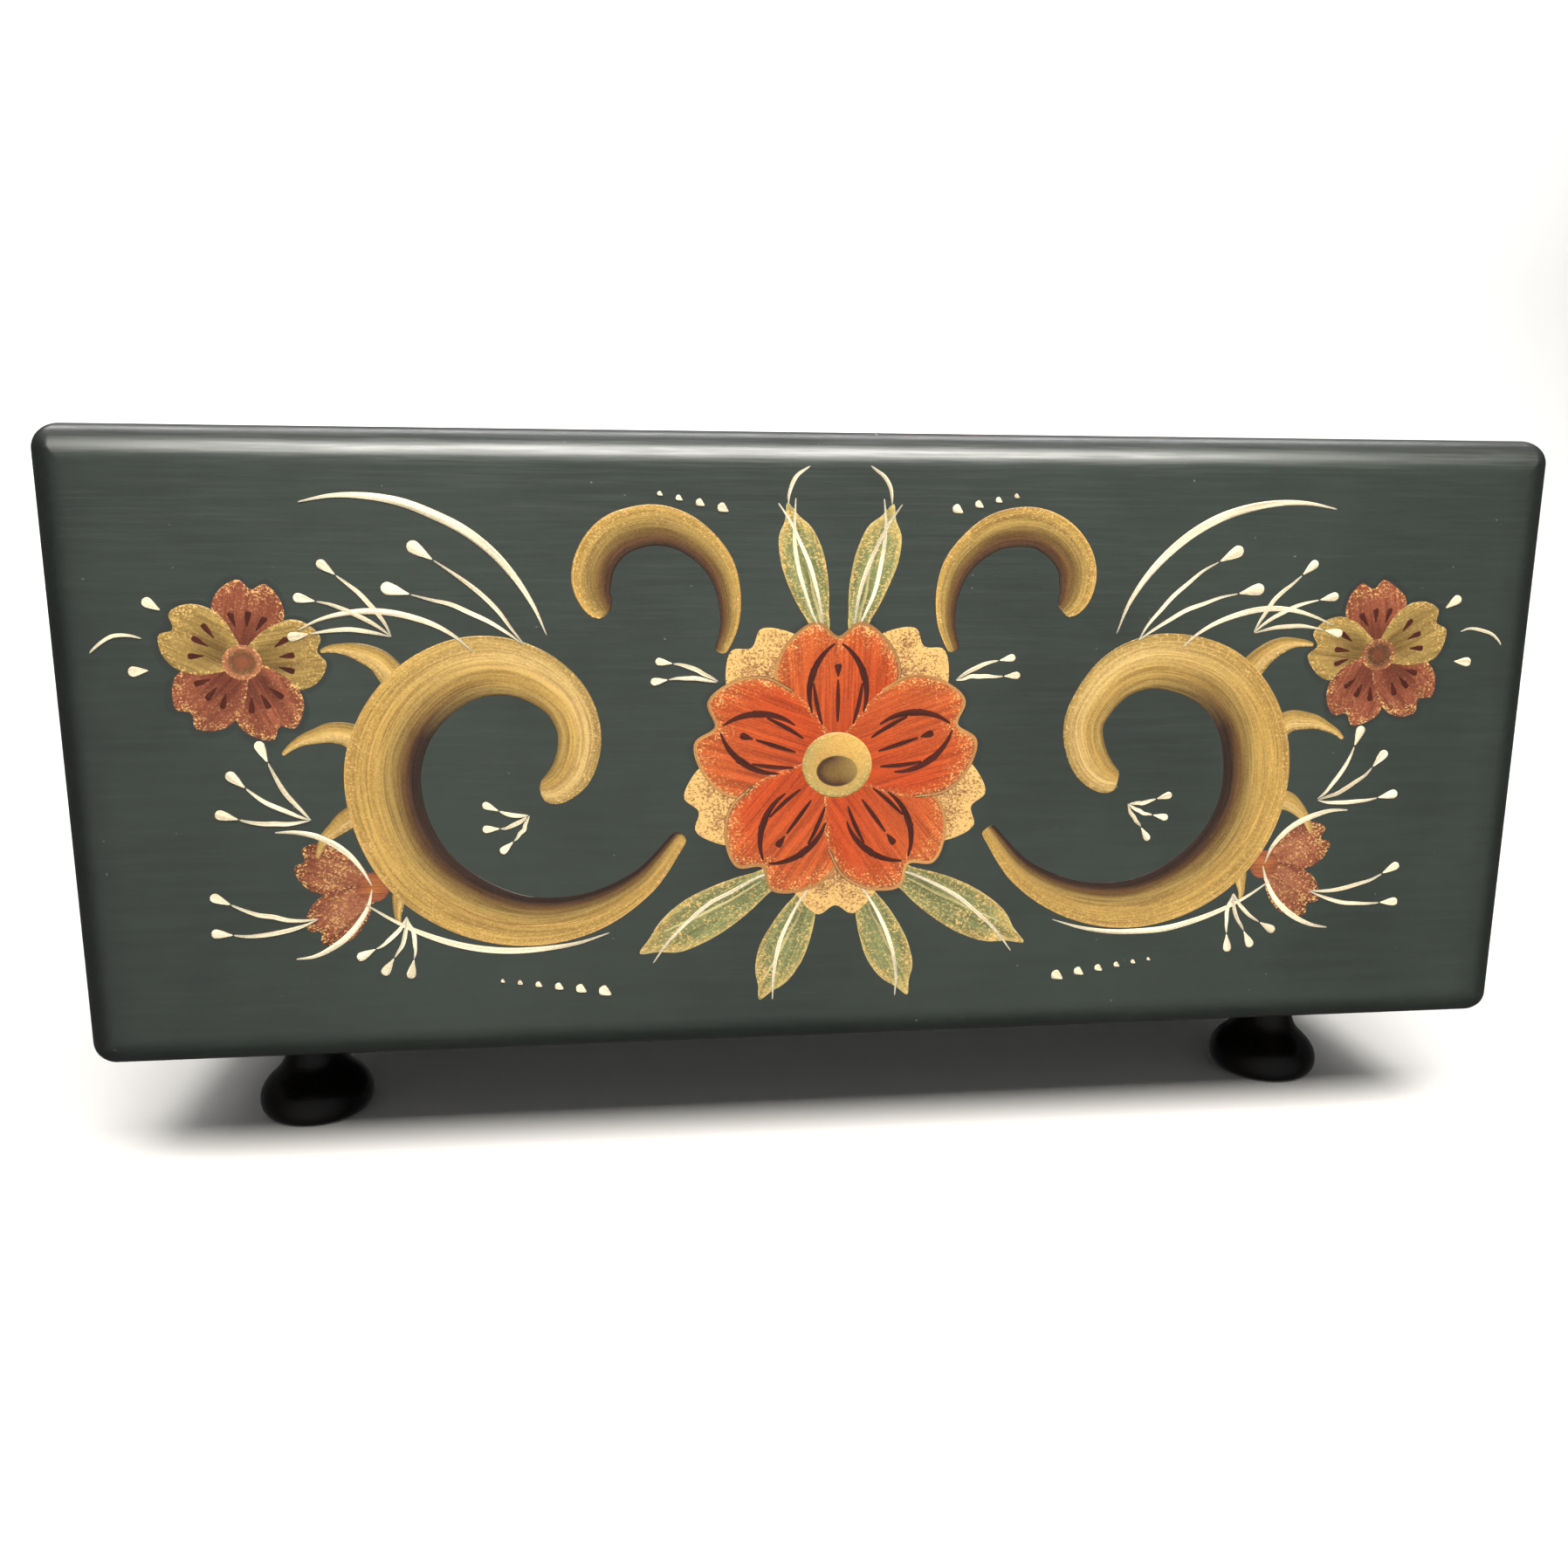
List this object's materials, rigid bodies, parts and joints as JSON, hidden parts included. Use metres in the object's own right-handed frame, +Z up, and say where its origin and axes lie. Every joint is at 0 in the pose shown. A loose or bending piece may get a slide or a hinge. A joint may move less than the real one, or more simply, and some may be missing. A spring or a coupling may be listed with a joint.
{
  "type": "footed painted wooden tray box",
  "caption": "Open-top wooden tray box on turned feet, dark green with scrolling folk flowers painted on its long front.",
  "frame": {"origin": "on the ground, under the middle of the tray", "axes": "+Z up, +X along the length to the viewer's right, the decorated front faces -Y"},
  "size_m": [0.39, 0.21, 0.196],
  "materials": {
    "green_paint": "satin dark green paint over wood",
    "black_paint": "satin black paint over turned wood",
    "bare_wood": "bare",
    "brass": "dull",
    "folk_painting": "hand-painted decoration in satin paint"
  },
  "bodies": {
    "root": {"front_board": "green_paint", "back_board": "green_paint", "right_end_board": "green_paint", "left_end_board": "green_paint", "bottom_panel": "green_paint", "foot_front_left": "black_paint", "foot_front_right": "black_paint", "foot_back_left": "black_paint", "foot_back_right": "black_paint", "foot_washer_front_left": "brass", "foot_washer_front_right": "brass", "foot_washer_back_left": "brass", "foot_washer_back_right": "brass", "foot_screw_front_left": "brass", "foot_screw_front_right": "brass", "foot_screw_back_left": "brass", "foot_screw_back_right": "brass", "dowel_front_left_1": "bare_wood", "dowel_front_left_2": "bare_wood", "dowel_front_left_3": "bare_wood", "dowel_front_right_1": "bare_wood", "dowel_front_right_2": "bare_wood", "dowel_front_right_3": "bare_wood", "dowel_back_left_1": "bare_wood", "dowel_back_left_2": "bare_wood", "dowel_back_left_3": "bare_wood", "dowel_back_right_1": "bare_wood", "dowel_back_right_2": "bare_wood", "dowel_back_right_3": "bare_wood"}
  },
  "joints": []
}
